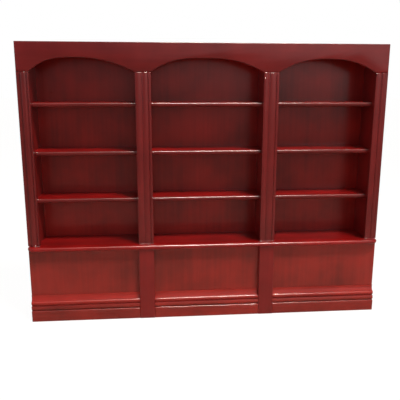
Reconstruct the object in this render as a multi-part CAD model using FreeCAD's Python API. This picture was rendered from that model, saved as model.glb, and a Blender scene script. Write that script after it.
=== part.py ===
import FreeCAD, Part
import math
import os

# Miniature bookcase, one twelfth scale, three bays wide.
#
# Millimetres. X runs along the width, Y from front to back, Z up.
# The pieces are drawn with Y measured from the plane of the arched fascia's face, and are moved as
# they are written so that the origin is on the floor, in the middle of the footprint.
#
# The carcass is two full-height sides, a top board, a counter board at sill height and a floor board,
# closed by a thin back let into rebates. Two dividers stand on the counter and carry the shelves.
# A face frame laps the front edges: an arched fascia, four reeded pilasters and a plain base front.
# Two posts and three lengths of moulding are glued on the base front.

# Overall
CASE_WIDTH = 240.0
CASE_HEIGHT = 185.0
CASE_DEPTH = 27.0
FRAME_THICKNESS = 3.0
BACK_THICKNESS = 3.0
UPRIGHT_THICKNESS = 7.0
TOP_THICKNESS = 4.0
FLOOR_THICKNESS = 3.0
HOUSING_DEPTH = 1.0
REBATE_WIDTH = 3.5
EASED_EDGE = 0.5
FINE_EASED_EDGE = 0.3

# Levels
COUNTER_TOP = 53.2
COUNTER_THICKNESS = 3.0
SHELF_PITCH = 31.5
SHELF_THICKNESS = 3.0
SHELF_NAMES = ("lower", "middle", "upper")
SHELF_NOSE_RADIUS = 1.4

# Counter nosing
NOSE_PROJECTION = 5.0
NOSE_RADIUS = 1.4
NOSE_CORNER_RADIUS = 4.5

# Dividers and pilasters
DIVIDER_OFFSET = 41.4
PILASTER_PROJECTION = 1.2
PILASTER_END_ROUND = 0.6
GROOVE_DEPTH = 0.55
REED_CROWN = 0.28

# Width of every part of a pilaster's face, from left to right.
# The end pilasters keep a flat margin, flush with the fascia, along the outside of the case.
END_LEFT_PROFILE = (("flat", 2.9), ("reed", 3.1), ("groove", 0.6), ("reed", 1.2))
MIDDLE_LEFT_PROFILE = (("reed", 3.6), ("groove", 1.0), ("reed", 3.2), ("groove", 0.6), ("reed", 1.6))
MIDDLE_RIGHT_PROFILE = (("reed", 2.9), ("groove", 1.0), ("reed", 3.9), ("groove", 0.6), ("reed", 1.6))
END_RIGHT_PROFILE = (("reed", 3.5), ("groove", 0.6), ("reed", 1.7), ("flat", 2.7))
MIDDLE_LEFT_START = -46.4
MIDDLE_RIGHT_START = 36.7

# Arched fascia. The arches were shaped by hand and no two are the same.
# For each one: place of the crown, rise, and fullness of its left and right half (2 is a parabola).
ARCH_SPRING = 166.7
ARCHES = (
    (-82.0, 8.85, 3.2, 2.0),
    (0.0, 8.75, 3.0, 2.4),
    (79.0, 8.6, 2.35, 2.6),
)
ARCH_POINTS = 9

# Base
POST_WIDTH = 10.2
POST_PROJECTION = 3.2
POST_EASED_EDGE = 0.4
MOULDING_HEIGHT = 18.5
BAND_HEIGHT = 7.8
BAND_PROJECTION = 3.0
BAND_FOOT_ROUND = 0.5
BAND_TOP_ROUND = 0.7
REED_TOP = 11.1
REED_PROJECTION = 2.9
REED_SWELL = 0.45
BEAD_TOP = 14.4
BEAD_PROJECTION = 2.7
BEAD_TOP_PROJECTION = 1.2
COVE_MIDDLE_HEIGHT = 15.9
COVE_MIDDLE_PROJECTION = 0.5
COVE_TOP_LEDGE = 0.3
QUIRK_HEIGHT = 0.6
QUIRK_PROJECTION = 1.7

# Derived positions
HALF_WIDTH = CASE_WIDTH / 2
CARCASS_FRONT = FRAME_THICKNESS
BACK_FRONT = CASE_DEPTH - BACK_THICKNESS
FOOTPRINT_CENTER = (CASE_DEPTH - NOSE_PROJECTION) / 2
SIDE_INNER = HALF_WIDTH - UPRIGHT_THICKNESS
TOP_UNDERSIDE = CASE_HEIGHT - TOP_THICKNESS
COUNTER_UNDERSIDE = COUNTER_TOP - COUNTER_THICKNESS
SHELF_TOPS = [COUNTER_TOP + SHELF_PITCH * (n + 1) for n in range(len(SHELF_NAMES))]
DIVIDER_HALF = UPRIGHT_THICKNESS / 2
END_LEFT_STOP = -HALF_WIDTH + sum(width for kind, width in END_LEFT_PROFILE)
MIDDLE_LEFT_STOP = MIDDLE_LEFT_START + sum(width for kind, width in MIDDLE_LEFT_PROFILE)
MIDDLE_RIGHT_STOP = MIDDLE_RIGHT_START + sum(width for kind, width in MIDDLE_RIGHT_PROFILE)
END_RIGHT_START = HALF_WIDTH - sum(width for kind, width in END_RIGHT_PROFILE)
POST_HALF = POST_WIDTH / 2
BOTH_ENDS = (("left", -1), ("right", 1))
BAYS = (
    ("left", -SIDE_INNER, -DIVIDER_OFFSET - DIVIDER_HALF),
    ("center", -DIVIDER_OFFSET + DIVIDER_HALF, DIVIDER_OFFSET - DIVIDER_HALF),
    ("right", DIVIDER_OFFSET + DIVIDER_HALF, SIDE_INNER),
)
CLEAR_SPANS = (
    (END_LEFT_STOP, MIDDLE_LEFT_START),
    (MIDDLE_LEFT_STOP, MIDDLE_RIGHT_START),
    (MIDDLE_RIGHT_STOP, END_RIGHT_START),
)
MOULDING_SPANS = (
    ("left", -HALF_WIDTH, -DIVIDER_OFFSET - POST_HALF),
    ("center", -DIVIDER_OFFSET + POST_HALF, DIVIDER_OFFSET - POST_HALF),
    ("right", DIVIDER_OFFSET + POST_HALF, HALF_WIDTH),
)


def vector(x, y, z):
    return FreeCAD.Vector(x, y, z)


def block(x_span, y_span, z_span):
    """A board given by its two limits on each axis."""
    low = vector(x_span[0], y_span[0], z_span[0])
    size = (x_span[1] - x_span[0], y_span[1] - y_span[0], z_span[1] - z_span[0])
    return Part.makeBox(*size, low)


def edges_between(shape, low, high):
    """Edges of the shape that lie wholly inside a box, to be rounded over."""
    slack = 0.01
    chosen = []
    for edge in shape.Edges:
        box = edge.BoundBox
        inside_x = low[0] - slack <= box.XMin and box.XMax <= high[0] + slack
        inside_y = low[1] - slack <= box.YMin and box.YMax <= high[1] + slack
        inside_z = low[2] - slack <= box.ZMin and box.ZMax <= high[2] + slack
        if inside_x and inside_y and inside_z:
            chosen.append(edge)
    return chosen


def round_over(shape, radius, low, high):
    return shape.makeFillet(radius, edges_between(shape, low, high))


def export(name, shape):
    """Write one piece, moved so that the middle of the footprint is at Y = 0."""
    shape.translate(vector(0, -FOOTPRINT_CENTER, 0))
    shape.exportStep(os.path.join("parts", name + ".step"))
    print(name, "volume %.0f" % shape.Volume)


def shelf_housings(face_x, direction):
    """Grooves cut into an upright for the three shelves of the bay beside it."""
    span = sorted((face_x, face_x + direction * HOUSING_DEPTH))
    depth = (CARCASS_FRONT, BACK_FRONT)
    return [block(span, depth, (top - SHELF_THICKNESS, top)) for top in SHELF_TOPS]


def side_panel(direction):
    """Full-height side: shelf and counter housings inside, rebate for the back, rounded rear corner."""
    outer = direction * HALF_WIDTH
    inner = direction * SIDE_INNER
    panel = block(sorted((inner, outer)), (CARCASS_FRONT, CASE_DEPTH), (0, TOP_UNDERSIDE))
    panel = round_over(panel, EASED_EDGE, (outer, CASE_DEPTH, 0), (outer, CASE_DEPTH, TOP_UNDERSIDE))
    counter_span = sorted((inner, inner + direction * HOUSING_DEPTH))
    cuts = shelf_housings(inner, direction)
    cuts.append(block(counter_span, (CARCASS_FRONT, BACK_FRONT), (COUNTER_UNDERSIDE, COUNTER_TOP)))
    rebate_span = sorted((inner, inner + direction * REBATE_WIDTH))
    cuts.append(block(rebate_span, (BACK_FRONT, CASE_DEPTH), (0, TOP_UNDERSIDE)))
    return panel.cut(cuts)


def divider(center_x):
    """Upright between two bays, standing on the counter, housed for shelves on both faces."""
    x_span = (center_x - DIVIDER_HALF, center_x + DIVIDER_HALF)
    board = block(x_span, (CARCASS_FRONT, BACK_FRONT), (COUNTER_TOP, TOP_UNDERSIDE))
    return board.cut(shelf_housings(x_span[0], 1) + shelf_housings(x_span[1], -1))


def shelf(x_from, x_to, top):
    """Shelf with its ends let into the uprights and a bullnose front edge."""
    x_span = (x_from - HOUSING_DEPTH, x_to + HOUSING_DEPTH)
    z_span = (top - SHELF_THICKNESS, top)
    board = block(x_span, (CARCASS_FRONT, BACK_FRONT), z_span)
    for level in z_span:
        low = (x_span[0], CARCASS_FRONT, level)
        high = (x_span[1], CARCASS_FRONT, level)
        board = round_over(board, SHELF_NOSE_RADIUS, low, high)
    return board


def counter_board():
    """Counter: body between the sides and a nosing that runs across their front edges."""
    body_half = SIDE_INNER + HOUSING_DEPTH
    z_span = (COUNTER_UNDERSIDE, COUNTER_TOP)
    body = block((-body_half, body_half), (CARCASS_FRONT, BACK_FRONT), z_span)
    nose = block((-HALF_WIDTH, HALF_WIDTH), (-NOSE_PROJECTION, CARCASS_FRONT), z_span)
    for direction in (-1, 1):
        corner = (direction * HALF_WIDTH, -NOSE_PROJECTION)
        low = (corner[0], corner[1], COUNTER_UNDERSIDE)
        high = (corner[0], corner[1], COUNTER_TOP)
        nose = round_over(nose, NOSE_CORNER_RADIUS, low, high)
    for level in z_span:
        low = (-HALF_WIDTH, -NOSE_PROJECTION, level)
        high = (HALF_WIDTH, -NOSE_PROJECTION + NOSE_CORNER_RADIUS, level)
        nose = round_over(nose, NOSE_RADIUS, low, high)
    return body.fuse(nose).removeSplitter()


def top_board():
    """Top board lying on the sides, with its exposed upper edges eased."""
    x_span = (-HALF_WIDTH, HALF_WIDTH)
    board = block(x_span, (CARCASS_FRONT, CASE_DEPTH), (TOP_UNDERSIDE, CASE_HEIGHT))
    low = (-HALF_WIDTH, CASE_DEPTH, CASE_HEIGHT)
    high = (HALF_WIDTH, CASE_DEPTH, CASE_HEIGHT)
    return round_over(board, EASED_EDGE, low, high)


def back_panel():
    """Thin back, let into the rebates of the sides and stopped under the top board."""
    half = SIDE_INNER + REBATE_WIDTH
    return block((-half, half), (BACK_FRONT, CASE_DEPTH), (0, TOP_UNDERSIDE))


def floor_board():
    """Board that closes the base at floor level, between the sides."""
    return block((-SIDE_INNER, SIDE_INNER), (CARCASS_FRONT, BACK_FRONT), (0, FLOOR_THICKNESS))


def arch_half(crown_x, spring_x, rise, fullness):
    """Points from the crown of an arch down to where it springs."""
    points = []
    for step in range(ARCH_POINTS):
        out = step / (ARCH_POINTS - 1)
        height = rise * (1 - out ** fullness)
        points.append(vector(crown_x + (spring_x - crown_x) * out, 0, ARCH_SPRING + height))
    return points


def arch_cutter(span, arch):
    """Waste under one arch: a smooth curve standing on the chord at the springing line."""
    crown_x, rise, left_fullness, right_fullness = arch
    left_half = arch_half(crown_x, span[0], rise, left_fullness)
    right_half = arch_half(crown_x, span[1], rise, right_fullness)
    curve = Part.BSplineCurve()
    curve.interpolate(left_half[::-1] + right_half[1:])
    chord = Part.makeLine(right_half[-1], left_half[-1])
    outline = Part.Wire([curve.toShape(), chord])
    return Part.Face(outline).extrude(vector(0, FRAME_THICKNESS, 0))


def arched_fascia():
    """Full-width head of the face frame: three flat arches with a foot over every pilaster."""
    x_span = (-HALF_WIDTH, HALF_WIDTH)
    board = block(x_span, (0, FRAME_THICKNESS), (ARCH_SPRING, CASE_HEIGHT))
    board = round_over(board, EASED_EDGE, (-HALF_WIDTH, 0, CASE_HEIGHT), (HALF_WIDTH, 0, CASE_HEIGHT))
    for direction in (-1, 1):
        x = direction * HALF_WIDTH
        board = round_over(board, EASED_EDGE, (x, 0, ARCH_SPRING), (x, EASED_EDGE, CASE_HEIGHT))
    board = board.cut([arch_cutter(span, arch) for span, arch in zip(CLEAR_SPANS, ARCHES)])
    below_top = CASE_HEIGHT - 2 * EASED_EDGE
    on_face = edges_between(board, (-HALF_WIDTH, 0, ARCH_SPRING), (HALF_WIDTH, 0, below_top))
    arches = [edge for edge in on_face if isinstance(edge.Curve, Part.BSplineCurve)]
    return board.makeFillet(FINE_EASED_EDGE, arches)


def reeded_outline(x_from, profile):
    """Plan outline of a pilaster: convex reeds divided by grooves, and flat margins."""
    arris = REED_CROWN - PILASTER_PROJECTION
    crown = -PILASTER_PROJECTION
    bed = GROOVE_DEPTH - PILASTER_PROJECTION
    here = vector(x_from, FRAME_THICKNESS, 0)
    back_left = here
    edges = []
    for kind, width in profile:
        start_depth = 0 if kind == "flat" else arris
        if here.y != start_depth:
            corner = vector(here.x, start_depth, 0)
            edges.append(Part.makeLine(here, corner))
            here = corner
        across = here + vector(width, 0, 0)
        if kind == "flat":
            edges.append(Part.makeLine(here, across))
        else:
            middle = vector(here.x + width / 2, crown if kind == "reed" else bed, 0)
            edges.append(Part.Arc(here, middle, across).toShape())
        here = across
    back_right = vector(here.x, FRAME_THICKNESS, 0)
    edges.append(Part.makeLine(here, back_right))
    edges.append(Part.makeLine(back_right, back_left))
    return Part.Wire(edges)


def end_round_cutter(x_from, width, end_z):
    """Sliver taken off the front arris at the head of a pilaster to leave it rounded."""
    front = -PILASTER_PROJECTION
    radius = PILASTER_END_ROUND
    corner = vector(x_from, front, end_z)
    on_face = vector(x_from, front, end_z - radius)
    on_end = vector(x_from, front + radius, end_z)
    bulge = radius * (1 - math.cos(math.pi / 4))
    middle = vector(x_from, front + bulge, end_z - bulge)
    arc = Part.Arc(on_face, middle, on_end).toShape()
    wire = Part.Wire([arc, Part.makeLine(on_end, corner), Part.makeLine(corner, on_face)])
    return Part.Face(wire).extrude(vector(width, 0, 0))


def pilaster(x_from, profile):
    """Reeded strip from the counter to the foot of the fascia, its reeds proud of the frame."""
    height = ARCH_SPRING - COUNTER_TOP
    width = sum(part_width for kind, part_width in profile)
    strip = Part.Face(reeded_outline(x_from, profile)).extrude(vector(0, 0, height))
    strip.translate(vector(0, 0, COUNTER_TOP))
    return strip.cut(end_round_cutter(x_from, width, ARCH_SPRING))


def base_front():
    """Plain board closing the base below the counter, flush with the fascia above."""
    x_span = (-HALF_WIDTH, HALF_WIDTH)
    board = block(x_span, (0, FRAME_THICKNESS), (0, COUNTER_UNDERSIDE))
    for direction in (-1, 1):
        x = direction * HALF_WIDTH
        board = round_over(board, EASED_EDGE, (x, 0, 0), (x, 0, COUNTER_UNDERSIDE))
    return board


def base_post(center_x):
    """Flat post on the base front, in line with a pilaster, standing just proud of the moulding."""
    x_span = (center_x - POST_HALF, center_x + POST_HALF)
    post = block(x_span, (-POST_PROJECTION, 0), (0, COUNTER_UNDERSIDE))
    for x in x_span:
        low = (x, -POST_PROJECTION, 0)
        high = (x, -POST_PROJECTION, COUNTER_UNDERSIDE)
        post = round_over(post, POST_EASED_EDGE, low, high)
    return post


def moulding_outline(x):
    """Section of the plinth moulding: flat band, groove, reed, groove, round bead and a cove on top."""
    def at(depth, level):
        return vector(x, -depth, level)

    band_arris = BAND_HEIGHT - BAND_TOP_ROUND
    reed_foot = BAND_HEIGHT + QUIRK_HEIGHT
    bead_foot = REED_TOP + QUIRK_HEIGHT
    foot_bulge = BAND_FOOT_ROUND * (1 - math.cos(math.pi / 4))
    arris_bulge = BAND_TOP_ROUND * (1 - math.cos(math.pi / 4))
    foot_start = at(BAND_PROJECTION - BAND_FOOT_ROUND, 0)
    foot_middle = at(BAND_PROJECTION - foot_bulge, foot_bulge)
    foot_end = at(BAND_PROJECTION, BAND_FOOT_ROUND)
    arris_start = at(BAND_PROJECTION, band_arris)
    arris_middle = at(BAND_PROJECTION - arris_bulge, BAND_HEIGHT - arris_bulge)
    arris_end = at(BAND_PROJECTION - BAND_TOP_ROUND, BAND_HEIGHT)
    lower_groove = (at(QUIRK_PROJECTION, BAND_HEIGHT), at(QUIRK_PROJECTION, reed_foot))
    reed_start = at(REED_PROJECTION - REED_SWELL, reed_foot)
    reed_middle = at(REED_PROJECTION, (reed_foot + REED_TOP) / 2)
    reed_end = at(REED_PROJECTION - REED_SWELL, REED_TOP)
    upper_groove = (at(QUIRK_PROJECTION, REED_TOP), at(QUIRK_PROJECTION, bead_foot))
    bead_middle = at(BEAD_PROJECTION, (bead_foot + BEAD_TOP) / 2)
    bead_end = at(BEAD_TOP_PROJECTION, BEAD_TOP)
    cove_middle = at(COVE_MIDDLE_PROJECTION, COVE_MIDDLE_HEIGHT)
    cove_end = at(COVE_TOP_LEDGE, MOULDING_HEIGHT)
    edges = [
        Part.makeLine(at(0, 0), foot_start),
        Part.Arc(foot_start, foot_middle, foot_end).toShape(),
        Part.makeLine(foot_end, arris_start),
        Part.Arc(arris_start, arris_middle, arris_end).toShape(),
        Part.makeLine(arris_end, lower_groove[0]),
        Part.makeLine(*lower_groove),
        Part.makeLine(lower_groove[1], reed_start),
        Part.Arc(reed_start, reed_middle, reed_end).toShape(),
        Part.makeLine(reed_end, upper_groove[0]),
        Part.makeLine(*upper_groove),
        Part.Arc(upper_groove[1], bead_middle, bead_end).toShape(),
        Part.Arc(bead_end, cove_middle, cove_end).toShape(),
        Part.makeLine(cove_end, at(0, MOULDING_HEIGHT)),
        Part.makeLine(at(0, MOULDING_HEIGHT), at(0, 0)),
    ]
    return Part.Wire(edges)


def plinth_moulding(x_from, x_to):
    """Length of moulding glued along the foot of the base front, cut square at both ends."""
    return Part.Face(moulding_outline(x_from)).extrude(vector(x_to - x_from, 0, 0))


os.makedirs("parts", exist_ok=True)

for side_name, side_direction in BOTH_ENDS:
    export("side_panel_" + side_name, side_panel(side_direction))
    export("divider_" + side_name, divider(side_direction * DIVIDER_OFFSET))

export("top_board", top_board())
export("counter_board", counter_board())
export("floor_board", floor_board())
export("back_panel", back_panel())

for bay_name, bay_from, bay_to in BAYS:
    for shelf_name, shelf_top in zip(SHELF_NAMES, SHELF_TOPS):
        export("shelf_%s_%s" % (bay_name, shelf_name), shelf(bay_from, bay_to, shelf_top))

export("arched_fascia", arched_fascia())
export("pilaster_end_left", pilaster(-HALF_WIDTH, END_LEFT_PROFILE))
export("pilaster_middle_left", pilaster(MIDDLE_LEFT_START, MIDDLE_LEFT_PROFILE))
export("pilaster_middle_right", pilaster(MIDDLE_RIGHT_START, MIDDLE_RIGHT_PROFILE))
export("pilaster_end_right", pilaster(END_RIGHT_START, END_RIGHT_PROFILE))

export("base_front", base_front())
for side_name, side_direction in BOTH_ENDS:
    export("base_post_" + side_name, base_post(side_direction * DIVIDER_OFFSET))
for span_name, span_from, span_to in MOULDING_SPANS:
    export("plinth_moulding_" + span_name, plinth_moulding(span_from, span_to))
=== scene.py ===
# %% [markdown]
# # A miniature bookcase in red lacquer
#
# The object is a dolls house bookcase, 240 mm wide. It is made of thin boards, a face frame with three
# arches, four reeded strips and a moulded foot, and it was dipped or sprayed in a thick, dark red lacquer.
#
# The boards come ready from the CAD model, which is loaded as a fixed frame. The pieces at the front,
# where the light shows every curve, are made again here in mesh code, in the same places and sizes.

# %% Load the frame
import math

import bmesh
import bpy
from mathutils import Euler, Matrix, Quaternion, Vector, noise


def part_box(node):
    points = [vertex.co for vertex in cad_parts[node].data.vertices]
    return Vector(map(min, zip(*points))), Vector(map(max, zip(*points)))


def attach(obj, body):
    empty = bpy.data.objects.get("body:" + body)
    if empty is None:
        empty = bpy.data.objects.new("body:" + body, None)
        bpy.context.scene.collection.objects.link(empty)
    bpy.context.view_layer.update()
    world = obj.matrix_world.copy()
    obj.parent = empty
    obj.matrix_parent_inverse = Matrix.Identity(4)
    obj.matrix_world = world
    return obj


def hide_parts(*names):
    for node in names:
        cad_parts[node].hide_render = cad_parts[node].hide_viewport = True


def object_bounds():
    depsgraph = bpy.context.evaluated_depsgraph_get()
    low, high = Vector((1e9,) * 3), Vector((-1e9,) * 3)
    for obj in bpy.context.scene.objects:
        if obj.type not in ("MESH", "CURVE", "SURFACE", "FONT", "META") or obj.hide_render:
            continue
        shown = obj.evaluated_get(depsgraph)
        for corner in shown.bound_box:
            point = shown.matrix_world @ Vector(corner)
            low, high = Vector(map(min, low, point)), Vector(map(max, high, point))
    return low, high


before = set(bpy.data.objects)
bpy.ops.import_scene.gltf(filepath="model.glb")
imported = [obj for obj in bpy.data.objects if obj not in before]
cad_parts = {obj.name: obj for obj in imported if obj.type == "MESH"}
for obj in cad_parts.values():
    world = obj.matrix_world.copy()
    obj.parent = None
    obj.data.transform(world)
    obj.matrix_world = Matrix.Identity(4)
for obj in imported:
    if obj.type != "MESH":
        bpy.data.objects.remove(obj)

MM = 0.001
cad_low, cad_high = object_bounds()
print("case, mm:", [round(side / MM, 1) for side in cad_high - cad_low])

# %% [markdown]
# ## Camera
#
# A small object is seen from close by, from a little above its middle, so the verticals draw together
# towards the floor. The lens is close to a normal one. The camera is turned in three steps, as on a
# tripod head: swing, tilt and a trace of roll.

# %% Camera
CAMERA_PLACE = Vector((-35.17, -354.26, 159.52)) * MM
CAMERA_SWING = math.radians(5.06)
CAMERA_TILT_DOWN = math.radians(12.53)
CAMERA_ROLL = math.radians(0.11)
SENSOR_WIDTH = 36.0
LENS = 47.1

camera_data = bpy.data.cameras.new("camera")
camera_data.sensor_width = SENSOR_WIDTH
camera_data.lens = LENS
camera_data.clip_start = 10 * MM
camera_data.clip_end = 20.0
camera = bpy.data.objects.new("camera", camera_data)
bpy.context.scene.collection.objects.link(camera)
level = Euler((math.pi / 2 - CAMERA_TILT_DOWN, 0, -CAMERA_SWING))
camera.rotation_mode = "QUATERNION"
camera.rotation_quaternion = level.to_quaternion() @ Quaternion((0, 0, 1), CAMERA_ROLL)
camera.location = CAMERA_PLACE
bpy.context.scene.camera = camera
print("camera distance, mm:", round((CAMERA_PLACE - (cad_low + cad_high) / 2).length / MM))

# %% [markdown]
# ## Floor and light
#
# Dark gloss shows its surroundings as much as its own colour, so the room matters. The lamp stands
# high, in front and to the right. It draws the shadow under the counter and the bright lines along every
# rounded edge. It is split in two, a part that only lights and a part that is only mirrored, so that the
# bright lines can be balanced by themselves.
#
# The rest is soft light that comes in low, as from pale walls: a wide, faintly pink glow on the left and
# a group of glows in front and to the right. One more glow behind the case shows its back in other views.
#
# The floor is pale paper. It is shown brighter than it is lit, so that it stays plain.

# %% Floor
FLOOR_HALF = 6.0
FLOOR_DROP = 0.02 * MM
PAPER_LIFT = 0.85
PAPER_GLOW = 1.13
PAPER_COLOUR = (0.64, 0.58, 0.49, 1)
floor_mesh = bpy.data.meshes.new("studio_floor")
floor_mesh.from_pydata(
    [(-FLOOR_HALF, -FLOOR_HALF, 0), (FLOOR_HALF, -FLOOR_HALF, 0),
     (FLOOR_HALF, FLOOR_HALF, 0), (-FLOOR_HALF, FLOOR_HALF, 0)],
    [], [(0, 1, 2, 3)])
floor = bpy.data.objects.new("studio_floor", floor_mesh)
floor.location.z = -FLOOR_DROP
bpy.context.scene.collection.objects.link(floor)

paper = bpy.data.materials.new("pale_paper")
paper.use_nodes = True
paper_nodes, paper_links = paper.node_tree.nodes, paper.node_tree.links
paper_shader = paper_nodes["Principled BSDF"]
paper_shader.inputs["Base Color"].default_value = PAPER_COLOUR
paper_shader.inputs["Roughness"].default_value = 0.9
paper_shader.inputs["Specular IOR Level"].default_value = 0.0
paper_glow = paper_nodes.new("ShaderNodeEmission")
paper_glow.inputs["Strength"].default_value = PAPER_GLOW
paper_path = paper_nodes.new("ShaderNodeLightPath")
paper_share = paper_nodes.new("ShaderNodeMath")
paper_share.operation = "MULTIPLY"
paper_share.inputs[1].default_value = PAPER_LIFT
paper_mix = paper_nodes.new("ShaderNodeMixShader")
paper_links.new(paper_path.outputs["Is Camera Ray"], paper_share.inputs[0])
paper_links.new(paper_share.outputs[0], paper_mix.inputs["Fac"])
paper_links.new(paper_shader.outputs[0], paper_mix.inputs[1])
paper_links.new(paper_glow.outputs[0], paper_mix.inputs[2])
paper_links.new(paper_mix.outputs[0], paper_nodes["Material Output"].inputs["Surface"])
floor_mesh.materials.append(paper)
print("floor, m:", 2 * FLOOR_HALF)

# %% High lamp
CASE_MIDDLE = Vector((0, 0, 90)) * MM
LAMP_BEAM = math.radians(64)

# The part that only lights.
LIGHTING_PLACE = Vector((0.42, -0.47, 1.04))
LIGHTING_POWER = 1.45
LIGHTING_TINT = (1.0, 0.97, 0.94)
LIGHTING_SIZE = (0.34, 0.04)

# The part that is only mirrored.
MIRRORED_PLACE = Vector((0.19, -0.62, 1.36))
MIRRORED_POWER = 9.5
MIRRORED_TINT = (1.0, 0.88, 0.78)
MIRRORED_SIZE = (0.50, 0.05)


def lamp(name, place, power, tint, size, lights_only):
    """A long lamp above the case, either only lighting it or only mirrored in its gloss."""
    data = bpy.data.lights.new(name, "AREA")
    data.shape = "RECTANGLE"
    data.size, data.size_y = size
    data.energy = power
    data.color = tint
    data.spread = LAMP_BEAM
    unit = bpy.data.objects.new(name, data)
    unit.location = place
    unit.rotation_euler = (CASE_MIDDLE - place).to_track_quat("-Z", "Y").to_euler()
    unit.visible_glossy = not lights_only
    unit.visible_diffuse = lights_only
    bpy.context.scene.collection.objects.link(unit)
    print(name, "stands", round((place - CASE_MIDDLE).length, 2), "m from the case")


lamp("high_lamp", LIGHTING_PLACE, LIGHTING_POWER, LIGHTING_TINT, LIGHTING_SIZE, True)
lamp("high_lamp_mirrored", MIRRORED_PLACE, MIRRORED_POWER, MIRRORED_TINT, MIRRORED_SIZE, False)

# %% Room light
# Each glow: swing from the front towards the right, height above the horizon, strength, narrowness, tint.
ROOM_GLOWS = (
    (-82, 12, 0.50, 8, (1.0, 0.85, 0.80)),
    (-50, 8, 1.22, 14, (1.0, 0.88, 0.98)),
    (8, 5, 0.40, 18, (1.0, 1.0, 1.0)),
    (25, 8, 1.15, 14, (1.0, 1.0, 0.98)),
    (50, 8, 0.55, 14, (1.0, 1.0, 0.98)),
    (25, 32, 0.16, 14, (1.0, 1.0, 1.0)),
    (180, 30, 0.90, 3, (1.0, 1.0, 1.0)),
)
ROOM_LEVEL = 0.02


def toward(swing, height):
    """Direction from the case: swing 0 is straight in front, 90 is to the right."""
    swing, height = math.radians(swing), math.radians(height)
    return (math.sin(swing) * math.cos(height), -math.cos(swing) * math.cos(height), math.sin(height))


world = bpy.data.worlds.new("studio_room")
bpy.context.scene.world = world
world.use_nodes = True
room_nodes, room_links = world.node_tree.nodes, world.node_tree.links
room_nodes.clear()
sky_point = room_nodes.new("ShaderNodeTexCoord")
total = None
for swing, height, strength, narrowness, tint in ROOM_GLOWS:
    facing = room_nodes.new("ShaderNodeVectorMath")
    facing.operation = "DOT_PRODUCT"
    facing.inputs[1].default_value = toward(swing, height)
    room_links.new(sky_point.outputs["Generated"], facing.inputs[0])
    falloff = room_nodes.new("ShaderNodeMath")
    falloff.operation = "MULTIPLY_ADD"
    falloff.inputs[1].default_value = narrowness
    falloff.inputs[2].default_value = -narrowness
    room_links.new(facing.outputs["Value"], falloff.inputs[0])
    glow = room_nodes.new("ShaderNodeMath")
    glow.operation = "EXPONENT"
    room_links.new(falloff.outputs[0], glow.inputs[0])
    layer = room_nodes.new("ShaderNodeVectorMath")
    layer.operation = "MULTIPLY_ADD"
    layer.inputs[1].default_value = [strength * channel for channel in tint]
    layer.inputs[2].default_value = (ROOM_LEVEL, ROOM_LEVEL, ROOM_LEVEL)
    room_links.new(glow.outputs[0], layer.inputs[0])
    if total is not None:
        room_links.new(total.outputs[0], layer.inputs[2])
    total = layer
room_light = room_nodes.new("ShaderNodeBackground")
room_links.new(total.outputs[0], room_light.inputs["Color"])
room_seen = room_nodes.new("ShaderNodeBackground")
room_seen.inputs["Color"].default_value = (1, 1, 1, 1)
room_path = room_nodes.new("ShaderNodeLightPath")
room_mix = room_nodes.new("ShaderNodeMixShader")
room_links.new(room_path.outputs["Is Camera Ray"], room_mix.inputs["Fac"])
room_links.new(room_light.outputs[0], room_mix.inputs[1])
room_links.new(room_seen.outputs[0], room_mix.inputs[2])
room_out = room_nodes.new("ShaderNodeOutputWorld")
room_links.new(room_mix.outputs[0], room_out.inputs["Surface"])
bpy.context.scene.view_settings.view_transform = "Standard"
bpy.context.scene.view_settings.look = "None"
print("room glows:", len(ROOM_GLOWS))

# %% [markdown]
# ## Lacquer
#
# Real lacquer over wood is built in layers, and the shader follows them. At the bottom is the stained
# wood, with long grain and cloudy patches where the stain went in deeper. Over it lies the glossy coat.
# Its surface is never quite flat: it has a faint ripple, fine dimples where it bridges the pores, and
# a few specks where dust dried in. Along the arrises the colour is darkened: painted shade, for the
# dark line that a rounded arris shows where it mirrors the dark room.
#
# Each finish has a deep and a bright red, and the grain and the clouds blend between them.

# %% Lacquer shader
GRAIN_SCALES = {"x": (14, 420, 420), "z": (420, 420, 14)}
FIBRE_SHARE = 0.45
CLOUD_SCALE = 38.0
STAIN_LOW = 0.42
STAIN_HIGH = 1.0
ARRIS_WIDTH = 0.35 * MM
ARRIS_PAINTED_SHADE = 0.55
GLOSS_SPREAD = 0.08
RIPPLE_SCALE = 260.0
RIPPLE_HEIGHT = 0.05 * MM
PORE_HEIGHT = 0.03 * MM
SPECK_SCALE = 70.0
SPECK_RADIUS = 0.7 * MM
SPECK_HEIGHT = 0.35 * MM


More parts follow.
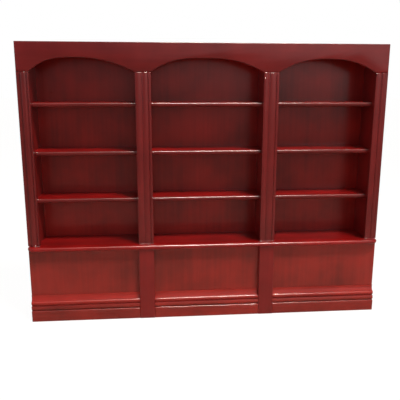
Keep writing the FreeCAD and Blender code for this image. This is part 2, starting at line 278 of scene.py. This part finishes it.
def lacquer(name, grain, deep, bright, seed, shine=0.22, coat=0.26, gloss=0.16, body_gloss=0.28):
    """Red lacquer over wood whose grain runs along the given axis."""
    material = bpy.data.materials.new(name)
    material.use_nodes = True
    tree = material.node_tree
    nodes, links = tree.nodes, tree.links
    shader = nodes["Principled BSDF"]

    place = nodes.new("ShaderNodeTexCoord")
    stretch = nodes.new("ShaderNodeMapping")
    stretch.inputs["Scale"].default_value = GRAIN_SCALES[grain]
    stretch.inputs["Location"].default_value = (seed * 3.1, seed * 1.7, seed * 2.3)
    links.new(place.outputs["Object"], stretch.inputs["Vector"])

    fibre = nodes.new("ShaderNodeTexNoise")
    fibre.inputs["Scale"].default_value = 1.0
    fibre.inputs["Detail"].default_value = 6.0
    fibre.inputs["Roughness"].default_value = 0.6
    links.new(stretch.outputs["Vector"], fibre.inputs["Vector"])

    cloud = nodes.new("ShaderNodeTexNoise")
    cloud.noise_dimensions = "4D"
    cloud.inputs["W"].default_value = seed
    cloud.inputs["Scale"].default_value = CLOUD_SCALE
    cloud.inputs["Detail"].default_value = 3.0
    links.new(place.outputs["Object"], cloud.inputs["Vector"])

    stain = nodes.new("ShaderNodeMath")
    stain.operation = "MULTIPLY_ADD"
    stain.inputs[1].default_value = FIBRE_SHARE
    links.new(fibre.outputs["Fac"], stain.inputs[0])
    links.new(cloud.outputs["Fac"], stain.inputs[2])

    tint = nodes.new("ShaderNodeValToRGB")
    tint.color_ramp.elements[0].position = STAIN_LOW
    tint.color_ramp.elements[0].color = (*deep, 1)
    tint.color_ramp.elements[1].position = STAIN_HIGH
    tint.color_ramp.elements[1].color = (*bright, 1)
    links.new(stain.outputs[0], tint.inputs["Fac"])

    # Painted shade: the colour is darkened along the arrises, where the rounded normal turns from the face.
    soft_edge = nodes.new("ShaderNodeBevel")
    soft_edge.samples = 4
    soft_edge.inputs["Radius"].default_value = ARRIS_WIDTH
    flat = nodes.new("ShaderNodeNewGeometry")
    facing = nodes.new("ShaderNodeVectorMath")
    facing.operation = "DOT_PRODUCT"
    links.new(soft_edge.outputs["Normal"], facing.inputs[0])
    links.new(flat.outputs["Normal"], facing.inputs[1])
    painted_arris_shade = nodes.new("ShaderNodeMapRange")
    painted_arris_shade.inputs["From Min"].default_value = 0.99
    painted_arris_shade.inputs["From Max"].default_value = 0.80
    links.new(facing.outputs["Value"], painted_arris_shade.inputs["Value"])
    arris_shaded_colour = nodes.new("ShaderNodeMix")
    arris_shaded_colour.data_type = "RGBA"
    arris_shaded_colour.inputs["B"].default_value = (*[channel * ARRIS_PAINTED_SHADE for channel in deep], 1)
    links.new(painted_arris_shade.outputs["Result"], arris_shaded_colour.inputs["Factor"])
    links.new(tint.outputs["Color"], arris_shaded_colour.inputs["A"])
    links.new(arris_shaded_colour.outputs["Result"], shader.inputs["Base Color"])

    dull = nodes.new("ShaderNodeMapRange")
    dull.inputs["To Min"].default_value = body_gloss
    dull.inputs["To Max"].default_value = body_gloss + GLOSS_SPREAD
    links.new(cloud.outputs["Fac"], dull.inputs["Value"])
    links.new(dull.outputs["Result"], shader.inputs["Roughness"])

    ripple = nodes.new("ShaderNodeTexNoise")
    ripple.inputs["Scale"].default_value = RIPPLE_SCALE
    ripple.inputs["Detail"].default_value = 2.0
    links.new(place.outputs["Object"], ripple.inputs["Vector"])
    film = nodes.new("ShaderNodeBump")
    film.inputs["Strength"].default_value = 0.35
    film.inputs["Distance"].default_value = RIPPLE_HEIGHT
    links.new(ripple.outputs["Fac"], film.inputs["Height"])
    pores = nodes.new("ShaderNodeBump")
    pores.inputs["Strength"].default_value = 0.25
    pores.inputs["Distance"].default_value = PORE_HEIGHT
    links.new(fibre.outputs["Fac"], pores.inputs["Height"])
    links.new(pores.outputs["Normal"], shader.inputs["Normal"])

    dust = nodes.new("ShaderNodeTexVoronoi")
    dust.inputs["Scale"].default_value = SPECK_SCALE
    links.new(place.outputs["Object"], dust.inputs["Vector"])
    dome = nodes.new("ShaderNodeMapRange")
    dome.interpolation_type = "SMOOTHSTEP"
    dome.inputs["From Min"].default_value = SPECK_RADIUS * SPECK_SCALE
    dome.inputs["From Max"].default_value = 0.0
    links.new(dust.outputs["Distance"], dome.inputs["Value"])
    speck = nodes.new("ShaderNodeBump")
    speck.inputs["Strength"].default_value = 1.0
    speck.inputs["Distance"].default_value = SPECK_HEIGHT
    links.new(dome.outputs["Result"], speck.inputs["Height"])
    links.new(film.outputs["Normal"], speck.inputs["Normal"])
    links.new(speck.outputs["Normal"], shader.inputs["Coat Normal"])
    links.new(speck.outputs["Normal"], pores.inputs["Normal"])

    shader.inputs["IOR"].default_value = 1.5
    shader.inputs["Specular IOR Level"].default_value = shine
    shader.inputs["Coat Weight"].default_value = coat
    shader.inputs["Coat Roughness"].default_value = gloss
    return material


# One lacquer is made in eight copies, their colours set apart to the brightness each group of pieces shows.
# The horizontal boards, the bead and the cove take lighter copies: painted light. The inner faces, the
# posts, the fascia, the reeded strips and the shelf noses take darker copies: painted shade. The back panel
# and the base front with the band of the moulding take copies of their own.
DEEP_RED = (0.139, 0.0044, 0.0038)
BRIGHT_RED = (0.342, 0.0125, 0.0088)
DEEP_BASE_RED = (0.139, 0.0116, 0.0077)
BRIGHT_BASE_RED = (0.342, 0.0210, 0.0140)
DEEP_BEAD_PAINTED_LIGHT_RED = (0.210, 0.0110, 0.0080)
BRIGHT_BEAD_PAINTED_LIGHT_RED = (0.440, 0.0260, 0.0180)
DEEP_TOP_PAINTED_LIGHT_RED = (0.191, 0.0024, 0.0022)
BRIGHT_TOP_PAINTED_LIGHT_RED = (0.373, 0.0055, 0.0050)
DEEP_FASCIA_PAINTED_SHADE_RED = (0.110, 0.0045, 0.0048)
BRIGHT_FASCIA_PAINTED_SHADE_RED = (0.207, 0.0098, 0.0098)
DEEP_FRAME_PAINTED_SHADE_RED = (0.104, 0.0054, 0.0053)
BRIGHT_FRAME_PAINTED_SHADE_RED = (0.194, 0.0113, 0.0109)
DEEP_INNER_PAINTED_SHADE_RED = (0.137, 0.0054, 0.0050)
BRIGHT_INNER_PAINTED_SHADE_RED = (0.243, 0.0109, 0.0100)
lacquer_across = lacquer("lacquer_grain_across_painted_light", "x", DEEP_TOP_PAINTED_LIGHT_RED, BRIGHT_TOP_PAINTED_LIGHT_RED, 1.0)
lacquer_upright = lacquer("lacquer_grain_upright", "z", DEEP_BASE_RED, BRIGHT_BASE_RED, 4.0)
lacquer_panel = lacquer("lacquer_back_panel", "z", DEEP_RED, BRIGHT_RED, 7.0)
frame_across = lacquer("lacquer_frame_across", "x", DEEP_FASCIA_PAINTED_SHADE_RED, BRIGHT_FASCIA_PAINTED_SHADE_RED, 10.0)
frame_upright = lacquer("lacquer_frame_upright", "z", DEEP_FRAME_PAINTED_SHADE_RED, BRIGHT_FRAME_PAINTED_SHADE_RED, 13.0)
lacquer_inner = lacquer("lacquer_inner_faces_painted_shade", "z", DEEP_INNER_PAINTED_SHADE_RED, BRIGHT_INNER_PAINTED_SHADE_RED, 16.0)
lacquer_nose_painted_shade = lacquer("lacquer_shelf_noses_painted_shade", "x", DEEP_FRAME_PAINTED_SHADE_RED, BRIGHT_FRAME_PAINTED_SHADE_RED, 19.0,
                       shine=0.16, coat=0.16)
lacquer_moulding = lacquer("lacquer_moulding", "x", DEEP_BASE_RED, BRIGHT_BASE_RED, 22.0)
lacquer_bead_painted_light = lacquer("lacquer_bead_painted_light", "x", DEEP_BEAD_PAINTED_LIGHT_RED, BRIGHT_BEAD_PAINTED_LIGHT_RED, 25.0,
                       shine=0.20, coat=0.20, gloss=0.12)
print("materials:", len(bpy.data.materials))

# %% [markdown]
# ## Boards that stay as they are
#
# Sides, dividers, top, floor and back are plain boards, and the CAD shapes already have their grooves
# and rebates. They only need the finish, with the grain along each board's length.

# %% Finish the plain boards
# The sides and dividers take the darker copy of the inner faces (painted shade), top and floor the lighter
# copy of the horizontal boards (painted light).
BOARD_FINISH = {
    "side_panel_left": lacquer_inner,
    "side_panel_right": lacquer_inner,
    "divider_left": lacquer_inner,
    "divider_right": lacquer_inner,
    "top_board": lacquer_across,
    "floor_board": lacquer_across,
    "back_panel": lacquer_panel,
}
for node, finish in BOARD_FINISH.items():
    for material_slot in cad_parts[node].material_slots:
        material_slot.material = finish
print("boards finished:", len(BOARD_FINISH))

# %% [markdown]
# ## A slab with soft arrises
#
# Shelves, counter, fascia, posts and base front are all slabs: an outline with a thickness. What makes
# them read as lacquered wood is the arris, which is never sharp. The slab is built as a stack of rings.
# The first and last rings are drawn in by the radius, and the rings between follow a quarter circle.
# Each corner of the outline says whether its arris is soft (1) or square (0). A slow, tiny waver is
# added to the soft rings, because a brushed film never dries to a perfectly straight line. The noise
# behind it starts from the clock unless it is given a seed, so it gets one.

# %% Slab maker
RING_STEPS = 4
WAVER = 0.02 * MM
WAVER_LENGTH = 11 * MM
WAVER_SEED = 5
WELD_DISTANCE = 0.002 * MM
SHARP_ANGLE = math.radians(38)
SHARPEST_TURN = 0.5
FULLY_IN = 0.99

noise.seed_set(WAVER_SEED)


def waver_at(point, amount=WAVER):
    """A smooth offset for a point of the film, the same in every run."""
    return noise.noise_vector(point / WAVER_LENGTH) * amount


def inward(outline):
    """For each corner of a closed outline, the direction that moves both its sides in by one unit."""
    count = len(outline)
    area = sum(outline[i][0] * outline[(i + 1) % count][1] - outline[(i + 1) % count][0] * outline[i][1]
               for i in range(count))
    turn = 1 if area > 0 else -1
    moves = []
    for i in range(count):
        before = Vector(outline[i][:2]) - Vector(outline[i - 1][:2])
        after = Vector(outline[(i + 1) % count][:2]) - Vector(outline[i][:2])
        normal_before = Vector((-before.y, before.x)).normalized() * turn
        normal_after = Vector((-after.y, after.x)).normalized() * turn
        both = normal_before + normal_after
        moves.append(both / max(both.length_squared / 2, SHARPEST_TURN))
    return moves


def finish_mesh(name, bm, finish, nodes):
    """Turn a bmesh into a smooth-shaded piece that rides on the case and stands for CAD nodes.

    The waver may not carry a point past the outer size of the case, so points are first held inside it.
    """
    for vert in bm.verts:
        vert.co = [min(max(at, least), most) for at, least, most in zip(vert.co, cad_low, cad_high)]
    bmesh.ops.remove_doubles(bm, verts=bm.verts, dist=WELD_DISTANCE)
    bmesh.ops.recalc_face_normals(bm, faces=bm.faces)
    mesh = bpy.data.meshes.new(name)
    bm.to_mesh(mesh)
    bm.free()
    mesh.shade_smooth()
    mesh.set_sharp_from_angle(angle=SHARP_ANGLE)
    mesh.materials.append(finish)
    piece = bpy.data.objects.new(name, mesh)
    bpy.context.scene.collection.objects.link(piece)
    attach(piece, "root")
    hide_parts(*nodes)
    return piece


def stack_rings(bm, rings):
    """Join rings of equal length with quads and close both ends."""
    loops = [[bm.verts.new(point) for point in ring] for ring in rings]
    for lower, upper in zip(loops, loops[1:]):
        for i in range(len(lower)):
            j = (i + 1) % len(lower)
            bm.faces.new((lower[i], lower[j], upper[j], upper[i]))
    bm.faces.new(loops[0][::-1])
    bm.faces.new(loops[-1])


def quarter_round(radius):
    """Steps of (inset, rise) from a face, round a soft arris, to the full outline."""
    angles = [math.pi / 2 * step / RING_STEPS for step in range(RING_STEPS + 1)]
    return [(radius * (1 - math.sin(angle)), radius * (1 - math.cos(angle))) for angle in angles]


def slab(name, outline, low, high, lift, low_radius, high_radius, finish):
    """A board given by its outline, the levels of its two faces and the radius of each face's arris.

    outline holds (u, v, softness) corners, and lift turns (u, v, level) into a point.
    """
    moves = inward(outline)
    steps = [(inset, low + rise, low_radius) for inset, rise in quarter_round(low_radius)]
    steps += [(inset, high - rise, high_radius) for inset, rise in reversed(quarter_round(high_radius))]
    rings = []
    for inset, height, radius in steps:
        ring = []
        for (u, v, softness), move in zip(outline, moves):
            reach = inset * softness
            point = Vector(lift(u + move.x * reach, v + move.y * reach, height))
            if 0 < reach < radius * FULLY_IN:
                point += waver_at(point)
            ring.append(point)
        rings.append(ring)
    bm = bmesh.new()
    stack_rings(bm, rings)
    return finish_mesh(name + "_lacquered", bm, finish, [name])


def stations(start, end, step):
    """Evenly spaced places from start to end, no further apart than step."""
    count = max(1, math.ceil(abs(end - start) / step))
    return [start + (end - start) * i / count for i in range(count + 1)]


# %% [markdown]
# ## Shelves
#
# Nine thin boards, let into the uprights at both ends. Only the front edge shows. It is a full bullnose,
# so it draws one long bright line under the lamp and falls into shade below it. The rounded front faces
# get a darker copy of the lacquer: painted shade, deepening the shade below the bright line. The outline
# gets many corners along the front, so that the waver has something to bend.

# %% Shelves
FRONT_STEP = 2.5 * MM
SHELF_ROUND = 1.4 * MM
NOSE_TOP_SLOPE = 0.97


def shelf_piece(node):
    low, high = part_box(node)
    front = [(x, low.y, 1) for x in stations(low.x, high.x, FRONT_STEP)]
    outline = front + [(high.x, high.y, 0), (low.x, high.y, 0)]
    # Painted light and shade: the board takes the lighter copy of the horizontal boards, its rounded front
    # faces the darker nose copy.
    piece = slab(node, outline, low.z, high.z, lambda u, v, w: (u, v, w),
                 SHELF_ROUND, SHELF_ROUND, lacquer_across)
    piece.data.materials.append(lacquer_nose_painted_shade)
    for face in piece.data.polygons:
        if face.center.y < low.y + SHELF_ROUND and abs(face.normal.z) < NOSE_TOP_SLOPE:
            face.material_index = 1
    return piece


shelf_nodes = sorted(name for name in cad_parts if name.startswith("shelf_"))
for node in shelf_nodes:
    shelf_piece(node)
print("shelves:", len(shelf_nodes))

# %% [markdown]
# ## Counter
#
# The counter is one board with a nose that runs across the front of the whole case. Its corners are
# rounded in plan, and the nose is rounded in section. Where the board runs back between the sides its
# edges are square, because nobody sees them.

# %% Counter
NOSE_ROUND = 1.4 * MM
NOSE_CORNER = 4.5 * MM
CORNER_STEPS = 8
counter_low, counter_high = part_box("counter_board")
side_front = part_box("side_panel_right")[0].y
body_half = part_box("shelf_right_lower")[1].x


def corner_arc(center_x, center_y, radius, start, end):
    """Soft corners along a quarter circle, by angle in degrees."""
    turns = [math.radians(start + (end - start) * i / CORNER_STEPS) for i in range(CORNER_STEPS + 1)]
    return [(center_x + radius * math.cos(t), center_y + radius * math.sin(t), 1) for t in turns]


nose_inner = counter_high.x - NOSE_CORNER
nose_line = stations(-nose_inner, nose_inner, FRONT_STEP)[1:-1]
counter_outline = [(-body_half, counter_high.y, 0), (-body_half, side_front, 0)]
counter_outline += [(-counter_high.x, side_front, 1)]
counter_outline += corner_arc(-nose_inner, counter_low.y + NOSE_CORNER, NOSE_CORNER, 180, 270)
counter_outline += [(x, counter_low.y, 1) for x in nose_line]
counter_outline += corner_arc(nose_inner, counter_low.y + NOSE_CORNER, NOSE_CORNER, 270, 360)
counter_outline += [(counter_high.x, side_front, 1)]
counter_outline += [(body_half, side_front, 0), (body_half, counter_high.y, 0)]
# Painted light: the counter takes the lighter copy of the horizontal boards.
slab("counter_board", counter_outline, counter_low.z, counter_high.z, lambda u, v, w: (u, v, w),
     NOSE_ROUND, NOSE_ROUND, lacquer_across)
print("counter corners:", len(counter_outline))

# %% [markdown]
# ## Fascia
#
# One board with three arches cut in its lower edge. They were shaped by hand: each has its own crown, its
# own rise, and a left and a right half of different fullness, where 2 is a plain parabola. They spring
# from the inner edges of the reeded strips. The outline is drawn from the front, and the slab
# maker gives it its thickness and a soft front arris.

# %% Fascia
ARCHES = ((-82.0, 8.85, 3.2, 2.0), (0.0, 8.75, 3.0, 2.4), (79.0, 8.6, 2.35, 2.6))
ARCH_STEPS = 24
FASCIA_ROUND = 0.45 * MM
fascia_low, fascia_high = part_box("arched_fascia")
clear_edges = [
    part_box("pilaster_end_left")[1].x,
    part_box("pilaster_middle_left")[0].x,
    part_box("pilaster_middle_left")[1].x,
    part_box("pilaster_middle_right")[0].x,
    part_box("pilaster_middle_right")[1].x,
    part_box("pilaster_end_right")[0].x,
]


def arch_half(crown_x, spring_x, spring, rise, fullness):
    """Soft corners from the crown of an arch down to where it springs."""
    corners = []
    for i in range(ARCH_STEPS + 1):
        out = i / ARCH_STEPS
        corners.append((crown_x + (spring_x - crown_x) * out, spring + rise * (1 - out ** fullness), 1))
    return corners


fascia_outline = [(fascia_low.x, fascia_low.z, 1)]
for left, right, arch in zip(clear_edges[0::2], clear_edges[1::2], ARCHES):
    crown_x, rise, left_fullness, right_fullness = arch
    left_half = arch_half(crown_x * MM, left, fascia_low.z, rise * MM, left_fullness)
    right_half = arch_half(crown_x * MM, right, fascia_low.z, rise * MM, right_fullness)
    fascia_outline += left_half[::-1] + right_half[1:]
fascia_outline += [(fascia_high.x, fascia_low.z, 1)]
fascia_outline += [(fascia_high.x, z, 1) for z in stations(fascia_low.z, fascia_high.z, FRONT_STEP)[1:]]
fascia_outline += [(x, fascia_high.z, 1) for x in stations(fascia_high.x, fascia_low.x, FRONT_STEP)[1:]]
fascia_outline += [(fascia_low.x, z, 1)
                   for z in stations(fascia_high.z, fascia_low.z, FRONT_STEP)[1:-1]]
# Painted shade: the fascia takes a darker copy of the lacquer.
slab("arched_fascia", fascia_outline, fascia_low.y, fascia_high.y, lambda u, v, w: (u, w, v),
     FASCIA_ROUND, 0, frame_across)
print("fascia corners:", len(fascia_outline))

# %% [markdown]
# ## Base front and posts
#
# The base is a plain board. Two flat posts are glued on it in line with the middle strips. Only their
# upright arrises are soft: top and foot butt against the counter and stand on the floor.

# %% Base front and posts
BASE_ROUND = 0.5 * MM
POST_ROUND = 0.4 * MM


def upright_slab(node, radius, finish):
    """A board seen from the front, with soft upright arrises and square ends."""
    low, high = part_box(node)
    rise = stations(low.z, high.z, FRONT_STEP)
    outline = [(low.x, z, 1) for z in reversed(rise)] + [(high.x, z, 1) for z in rise]
    return slab(node, outline, low.y, high.y, lambda u, v, w: (u, w, v),
                radius, 0, finish)


upright_slab("base_front", BASE_ROUND, lacquer_upright)
# Painted shade: the posts take the darker copy of the inner faces.
upright_slab("base_post_left", POST_ROUND, lacquer_inner)
upright_slab("base_post_right", POST_ROUND, lacquer_inner)

# %% [markdown]
# ## Reeded strips
#
# The middle strips have two wide reeds and a thin one, divided by two grooves. The end strips have two
# reeds and a flat margin at the outside of the case. No two are alike, so the widths are listed for each.
# The plan outline is swept upwards. Near the head the rings of the reeds draw back, and at the foot they
# spread into a tiny cove, where the lacquer gathered against the counter.

# %% Reeded strips
STRIPS = {
    "pilaster_end_left": (("flat", 2.9), ("reed", 3.1), ("groove", 0.6), ("reed", 1.2)),
    "pilaster_middle_left": (("reed", 3.6), ("groove", 1.0), ("reed", 3.2), ("groove", 0.6), ("reed", 1.6)),
    "pilaster_middle_right": (("reed", 2.9), ("groove", 1.0), ("reed", 3.9), ("groove", 0.6), ("reed", 1.6)),
    "pilaster_end_right": (("reed", 3.5), ("groove", 0.6), ("reed", 1.7), ("flat", 2.7)),
}
GROOVE_DEPTH = 0.55 * MM
REED_CROWN = 0.28 * MM
REED_STEPS = 8
MARGIN_ROUND = 0.2 * MM
HEAD_ROUND = 0.6 * MM
FOOT_COVE = 0.55 * MM
STRIP_STEP = 3.0 * MM
STRIP_WAVER = WAVER * 0.6
SAME_POINT = 0.01 * MM
reed_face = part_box("pilaster_middle_left")[0].y


def arc_depth(across, sagitta):
    """Depth of a flat arc below its crown, for a place from 0 to 1 across it."""
    return sagitta * (2 * across - 1) ** 2


def strip_outline(start, profile):
    """Plan outline from left to right: (x, depth behind the crowns)."""
    margin_depth = fascia_low.y - reed_face
    front = []
    here = start
    for index, (kind, width) in enumerate(profile):
        width *= MM
        for i in range(REED_STEPS + 1):
            across = i / REED_STEPS
            if kind == "reed":
                depth = arc_depth(across, REED_CROWN)
            elif kind == "groove":
                depth = GROOVE_DEPTH - arc_depth(across, GROOVE_DEPTH - REED_CROWN)
            else:
                to_outside = width * (across if index == 0 else 1 - across)
                short = max(0, 1 - to_outside / MARGIN_ROUND)
                depth = margin_depth + MARGIN_ROUND * (1 - math.sqrt(1 - short ** 2))
            place = (here + width * across, depth)
            if not front or math.dist(place, front[-1]) > SAME_POINT:
                front.append(place)
        here += width
    return front


def reeded_strip(node, profile):
    low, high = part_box(node)
    front = strip_outline(low.x, profile)
    top = high.z - HEAD_ROUND
    foot = low.z + FOOT_COVE
    rings = [(low.z + FOOT_COVE * (1 - math.cos(a)), -FOOT_COVE * (1 - math.sin(a)))
             for a in [math.pi / 2 * s / RING_STEPS for s in range(RING_STEPS)]]
    rings += [(z, 0) for z in stations(foot, top, STRIP_STEP)]
    rings += [(high.z - rise, inset) for inset, rise in reversed(quarter_round(HEAD_ROUND))][1:]
    loops = []
    for z, back_off in rings:
        ring = []
        for x, depth in front:
            on_reed = depth <= GROOVE_DEPTH
            point = Vector((x, reed_face + depth + (back_off if on_reed else 0), z))
            if on_reed:
                point += waver_at(point, STRIP_WAVER)
            ring.append(point)
        ring += [Vector((high.x, high.y, z)), Vector((low.x, high.y, z))]
        loops.append(ring)
    bm = bmesh.new()
    stack_rings(bm, loops)
    # Painted shade: the strips take the darker frame copy.
    return finish_mesh(node + "_lacquered", bm, frame_upright, [node])


for node, profile in STRIPS.items():
    reeded_strip(node, profile)
print("reeded strips:", len(STRIPS))

# %% [markdown]
# ## Moulding along the floor
#
# A length of moulding: a flat band, a groove, a reed, a groove, a round bead and a cove above it. It is
# drawn once as a section and swept along the case. The ends are drawn in a little, as sanded ends are.
# The bead and the cove get a paler copy of the lacquer than the band: painted light, for the glow
# of their upturned faces under the lamp.

# %% Moulding
BAND_HEIGHT = 7.8 * MM
BAND_TOP_ROUND = 0.7 * MM
BAND_FOOT_ROUND = 0.5 * MM
REED_TOP = 11.1 * MM
REED_PROJECTION = 2.9 * MM
REED_SWELL = 0.45 * MM
BEAD_TOP = 14.4 * MM
BEAD_PROJECTION = 2.7 * MM
BEAD_TOP_PROJECTION = 1.2 * MM
COVE_MIDDLE = (0.5 * MM, 15.9 * MM)
COVE_TOP_LEDGE = 0.3 * MM
QUIRK_HEIGHT = 0.6 * MM
QUIRK_PROJECTION = 1.7 * MM
END_ROUND = 0.35 * MM
ARC_STEPS = 6


def arc_through(start, middle, end, steps):
    """Points on the circle through three points, without the last one."""
    (ax, ay), (bx, by), (cx, cy) = start, middle, end
    double = 2 * (ax * (by - cy) + bx * (cy - ay) + cx * (ay - by))
    ux = ((ax**2 + ay**2) * (by - cy) + (bx**2 + by**2) * (cy - ay) + (cx**2 + cy**2) * (ay - by)) / double
    uy = ((ax**2 + ay**2) * (cx - bx) + (bx**2 + by**2) * (ax - cx) + (cx**2 + cy**2) * (bx - ax)) / double
    radius = math.hypot(ax - ux, ay - uy)
    first = math.atan2(ay - uy, ax - ux)
    last = math.atan2(cy - uy, cx - ux)
    through = math.atan2(by - uy, bx - ux)
    full = 2 * math.pi
    sweep = (last - first) % full
    if (through - first) % full > sweep:
        sweep -= full
    angles = [first + sweep * i / steps for i in range(steps)]
    return [(ux + radius * math.cos(a), uy + radius * math.sin(a)) for a in angles]


def moulding_section(projection, height):
    """Outline of the moulding as (projection, height) points, from the foot upwards."""
    slope = 1 - math.cos(math.pi / 4)
    reed_foot = BAND_HEIGHT + QUIRK_HEIGHT
    bead_foot = REED_TOP + QUIRK_HEIGHT
    points = [(0, 0)]
    points += arc_through((projection - BAND_FOOT_ROUND, 0),
                          (projection - BAND_FOOT_ROUND * slope, BAND_FOOT_ROUND * slope),
                          (projection, BAND_FOOT_ROUND), ARC_STEPS)
    points.append((projection, BAND_FOOT_ROUND))
    points += arc_through((projection, BAND_HEIGHT - BAND_TOP_ROUND),
                          (projection - BAND_TOP_ROUND * slope, BAND_HEIGHT - BAND_TOP_ROUND * slope),
                          (projection - BAND_TOP_ROUND, BAND_HEIGHT), ARC_STEPS)
    points += [(projection - BAND_TOP_ROUND, BAND_HEIGHT), (QUIRK_PROJECTION, BAND_HEIGHT)]
    points.append((QUIRK_PROJECTION, reed_foot))
    points += arc_through((REED_PROJECTION - REED_SWELL, reed_foot),
                          (REED_PROJECTION, (reed_foot + REED_TOP) / 2),
                          (REED_PROJECTION - REED_SWELL, REED_TOP), ARC_STEPS)
    points += [(REED_PROJECTION - REED_SWELL, REED_TOP), (QUIRK_PROJECTION, REED_TOP)]
    points += arc_through((QUIRK_PROJECTION, bead_foot), (BEAD_PROJECTION, (bead_foot + BEAD_TOP) / 2),
                          (BEAD_TOP_PROJECTION, BEAD_TOP), 2 * ARC_STEPS)
    points += arc_through((BEAD_TOP_PROJECTION, BEAD_TOP), COVE_MIDDLE, (COVE_TOP_LEDGE, height),
                          2 * ARC_STEPS)
    points += [(COVE_TOP_LEDGE, height), (0, height)]
    return points


def moulding_piece(node):
    low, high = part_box(node)
    section = moulding_section(high.y - low.y, high.z)
    moves = inward([(p, z, 1) for p, z in section])
    ends = quarter_round(END_ROUND)
    places = [(low.x + rise, inset) for inset, rise in ends]
    places += [(x, 0) for x in stations(low.x + END_ROUND, high.x - END_ROUND, FRONT_STEP)[1:-1]]
    places += [(high.x - rise, inset) for inset, rise in reversed(ends)]
    loops = []
    for x, inset in places:
        ring = []
        for (projection, z), move in zip(section, moves):
            inner = projection == 0
            point = Vector((x, high.y - projection - (0 if inner else move.x * inset),
                            z + (0 if inner else move.y * inset)))
            if not inner and z > 0:
                point += waver_at(point)
            ring.append(point)
        loops.append(ring)
    bm = bmesh.new()
    stack_rings(bm, loops)
    piece = finish_mesh(node + "_lacquered", bm, lacquer_moulding, [node])
    # Painted light: the faces above the reed take the paler bead copy.
    piece.data.materials.append(lacquer_bead_painted_light)
    for face in piece.data.polygons:
        if face.center.z > REED_TOP:
            face.material_index = 1
    return piece


moulding_nodes = ["plinth_moulding_" + place for place in ("left", "center", "right")]
for node in moulding_nodes:
    moulding_piece(node)
print("lengths of moulding:", len(moulding_nodes))
